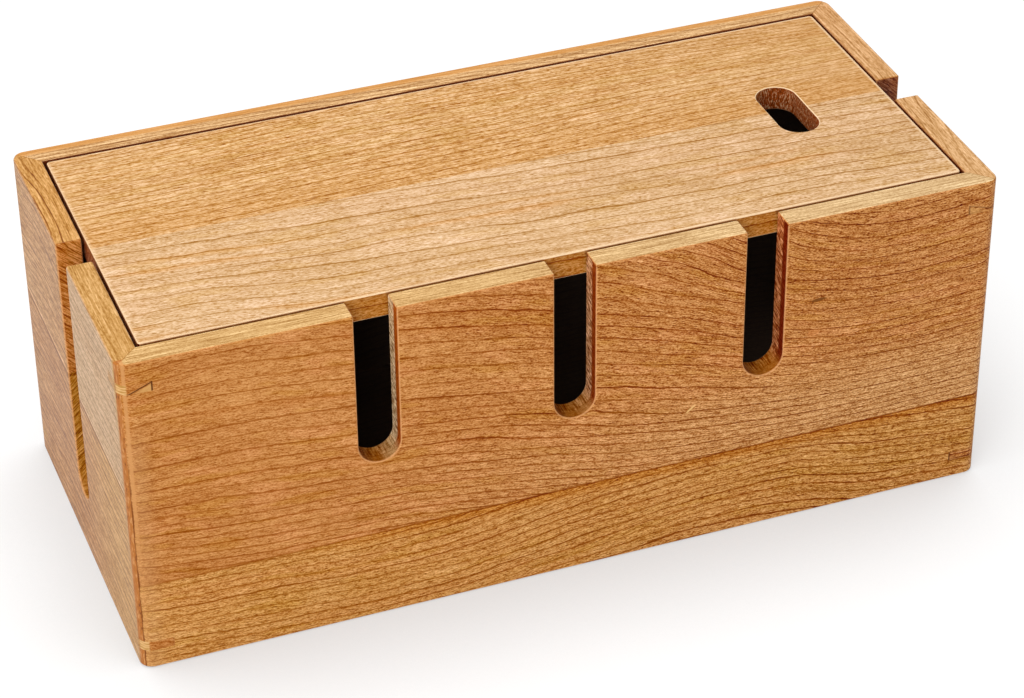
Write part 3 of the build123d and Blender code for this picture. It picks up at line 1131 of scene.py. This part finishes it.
boards = {  # wood, seed of its marks, and what else is laid on it
    "front_upper_board": (frontUpper, 1.0, frontCorner),
    "front_lower_board": (frontLower, 47.0, frontCorner),
    "lid_rear_board": (lidRear, 83.0, lidEdges),
    "lid_front_board": (lidFront, 121.0, lidEdges),
    "left_upper_rear_board": (leftUpperRear, 151.0, None),
    "left_upper_front_board": (leftUpperFront, 182.0, endCorner),
    "left_lower_board": (leftLower, 213.0, endCorner),
    "right_upper_rear_board": (rightUpper, 244.0, None),
    "right_upper_front_board": (rightUpper, 275.0, None),
    "right_lower_board": (rightLower, 306.0, None),
    "back_upper_board": (backUpper, 337.0, rearRim),
    "back_lower_board": (backLower, 368.0, None),
    "bottom_panel": (panelWood, 399.0, None),
}
seedStep = 31  # from one key or rest to the next
for node, (wood, seed, finish) in boards.items():
    finishBoard(node, wood, seed, finish)
for number, node in enumerate(sorted(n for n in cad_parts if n.endswith("_key"))):
    marks = keyMarks.get(node, keyMarks["front_right_high_key"])  # the rear keys are marked alike
    low = keyLook["highAt" if "high" in node else "lowAt"]
    finishBoard(node, keyWood, 430.0 + seedStep * number, keyFinish(marks, low))
for number, node in enumerate(sorted(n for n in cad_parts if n.endswith("_rest"))):
    finishBoard(node, restWood, 730.0 + seedStep * number)
print("wood laid on every board")

studio = {
    "floorSize": 6.0,
    "floorDrop": 0.0003,  # below the box, so that the two don't flicker
    "floorGrey": 0.82,  # as the box sees the floor
    "floorShade": 0.32,  # the part of it that takes shadows
    "floorGlow": 0.72,  # the part of it that doesn't
    "shadeReach": 0.13,
    "shadeSamples": 12,
    "shadeSpread": (0.35, 0.95),
    "contactShade": 0.26,  # lost from the glow close to the box
    "worldLight": 0.55,
}


def seenDirectly(tree):
    # 1 for what is seen, also through gloss and glass, and 0 for what only lights the box
    ray = addNode(tree, "ShaderNodeLightPath")
    seen = larger(tree, ray.outputs["Is Camera Ray"], ray.outputs["Is Transmission Ray"])
    return larger(tree, seen, ray.outputs["Is Glossy Ray"])


def plainDiffuse(tree, grey):
    return addNode(tree, "ShaderNodeBsdfDiffuse", None, {"Color": (grey, grey, grey)}).outputs[0]


def makeFloor():
    bpy.ops.mesh.primitive_plane_add(size=studio["floorSize"], location=(0, 0, -studio["floorDrop"]))
    floor = bpy.context.object
    floor.name = "studioFloor"
    material = bpy.data.materials.new("white table")
    material.use_nodes = True
    tree = material.node_tree
    tree.nodes.clear()
    output = addNode(tree, "ShaderNodeOutputMaterial")
    reach = {"Distance": studio["shadeReach"]}
    samples = {"samples": studio["shadeSamples"]}
    openness = addNode(tree, "ShaderNodeAmbientOcclusion", samples, reach).outputs["AO"]
    glow = studio["floorGlow"]
    strength = ease(tree, openness, *studio["shadeSpread"], glow - studio["contactShade"], glow)
    glowing = addNode(tree, "ShaderNodeEmission", None, {"Color": (1.0, 1.0, 1.0), "Strength": strength})
    both = addNode(tree, "ShaderNodeAddShader", None, {
        0: plainDiffuse(tree, studio["floorShade"]), 1: glowing.outputs[0]})
    mix = addNode(tree, "ShaderNodeMixShader", None, {
        0: seenDirectly(tree), 1: plainDiffuse(tree, studio["floorGrey"]), 2: both.outputs[0]})
    tree.links.new(mix.outputs[0], output.inputs[0])
    floor.data.materials.append(material)


def makeWorld():
    world = bpy.data.worlds.new("studio")
    scene.world = world
    world.use_nodes = True
    tree = world.node_tree
    tree.nodes.clear()
    output = addNode(tree, "ShaderNodeOutputWorld")
    strength = between(tree, seenDirectly(tree), studio["worldLight"], 1.0)
    background = addNode(tree, "ShaderNodeBackground", None, {
        "Color": (1.0, 1.0, 1.0), "Strength": strength})
    tree.links.new(background.outputs[0], output.inputs[0])


lamps = {
    "overhead": {"place": (-0.25, 0.15, 1.5), "aim": (0.0, 0.0, 0.1), "size": 1.3, "watts": 14.0},
    "frontLeft": {"place": (-1.1, -1.5, 1.0), "aim": (0.0, 0.0, 0.06), "size": 1.1, "watts": 16.0},
}


def addLamp(name, lamp):
    data = bpy.data.lights.new(name, "AREA")
    data.shape = "SQUARE"
    data.size = lamp["size"]
    data.energy = lamp["watts"]
    light = bpy.data.objects.new(name, data)
    scene.collection.objects.link(light)
    light.location = lamp["place"]
    aim = Vector(lamp["aim"]) - Vector(lamp["place"])
    light.rotation_euler = aim.to_track_quat("-Z", "Y").to_euler()


makeFloor()
makeWorld()
for name, lamp in lamps.items():
    addLamp(name, lamp)
print("floor, world and lamps in place")

viewpoint = {
    "place": (-0.35887, -0.97757, 0.75636),
    "aim": (0.00353, 0.0, 0.05027),
    "roll": -0.568,  # degrees
    "lens": 113.27,
    "sensor": 36.0,
    "clip": (0.05, 50.0),
}


def placeCamera():
    data = bpy.data.cameras.new("viewpoint")
    data.sensor_width = viewpoint["sensor"]
    data.lens = viewpoint["lens"]
    data.clip_start, data.clip_end = viewpoint["clip"]
    camera = bpy.data.objects.new("viewpoint", data)
    scene.collection.objects.link(camera)
    place = Vector(viewpoint["place"])
    forward = (Vector(viewpoint["aim"]) - place).normalized()
    right = forward.cross(Vector((0, 0, 1))).normalized()
    up = right.cross(forward)
    roll = math.radians(viewpoint["roll"])
    acrossView = math.cos(roll) * right + math.sin(roll) * up
    upView = -math.sin(roll) * right + math.cos(roll) * up
    turn = Matrix((acrossView, upView, -forward)).transposed()
    camera.matrix_world = Matrix.Translation(place) @ turn.to_4x4()
    scene.camera = camera


placeCamera()
scene.view_settings.view_transform = "Standard"
print("camera set")
